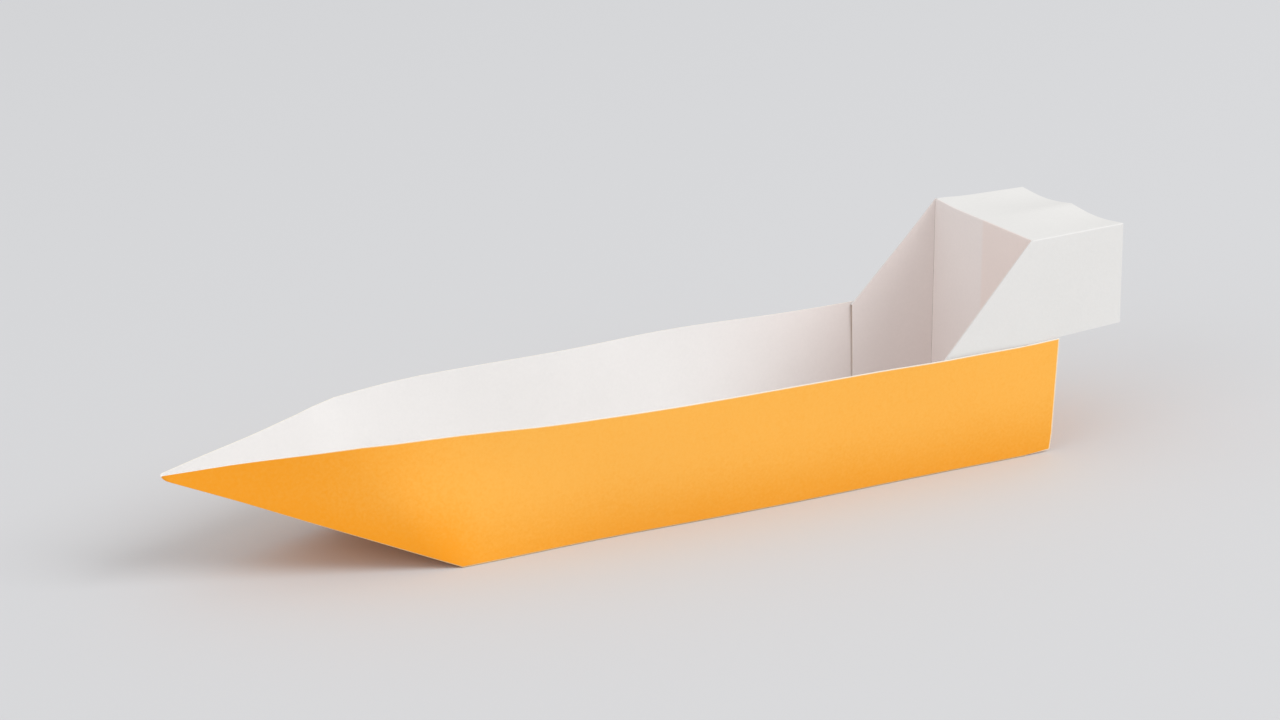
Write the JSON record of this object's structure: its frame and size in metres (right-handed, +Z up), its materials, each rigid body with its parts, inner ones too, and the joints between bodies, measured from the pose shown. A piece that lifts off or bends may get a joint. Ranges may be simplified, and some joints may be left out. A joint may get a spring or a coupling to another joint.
{
  "type": "paper boat",
  "caption": "Long flat-bottomed boat folded from a strip of two-coloured paper, with a raked pointed bow, flared open sides and a raised box hood over the stern.",
  "frame": {"origin": "on the surface the boat stands on, under the middle of its overall length and width", "axes": "+Z up, bow towards -X, port side towards -Y"},
  "size_m": [0.2374, 0.051, 0.0552],
  "materials": {
    "paper": "matte, orange outside and white inside"
  },
  "bodies": {
    "root": {"paper_boat": "paper"}
  },
  "joints": []
}
